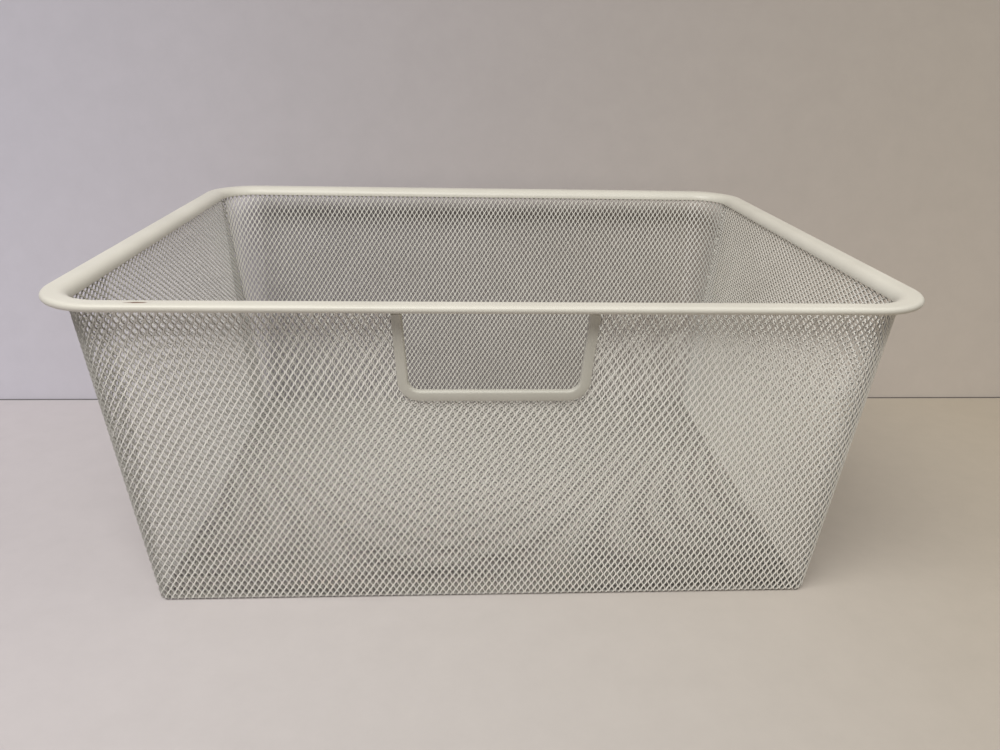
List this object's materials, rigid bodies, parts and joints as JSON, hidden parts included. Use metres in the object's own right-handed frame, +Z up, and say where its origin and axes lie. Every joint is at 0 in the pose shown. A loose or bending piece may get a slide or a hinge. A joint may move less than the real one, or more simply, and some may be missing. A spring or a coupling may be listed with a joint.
{
  "type": "mesh drawer basket",
  "caption": "Open-topped drawer basket of expanded steel mesh with sloping walls, a rolled rim that hangs on runners and a framed finger gap in the front wall.",
  "frame": {"origin": "middle of the floor's underside", "axes": "+X along the front to the right, +Y from the front wall to the rear wall, +Z up; the finger gap faces -Y"},
  "size_m": [0.441, 0.347, 0.1865],
  "materials": {
    "rim_paint": "satin cream powder coat",
    "trim_paint": "satin cream powder coat, in the rim's shade",
    "mesh_paint": "satin powder coat on expanded mesh"
  },
  "bodies": {
    "root": {"rim_frame": "rim_paint", "handle_trim": "trim_paint", "mesh_front": "mesh_paint", "mesh_rear": "mesh_paint", "mesh_left": "mesh_paint", "mesh_right": "mesh_paint", "mesh_floor": "mesh_paint", "mesh_corner_front_left": "mesh_paint", "mesh_corner_front_right": "mesh_paint", "mesh_corner_rear_left": "mesh_paint", "mesh_corner_rear_right": "mesh_paint"}
  },
  "joints": []
}
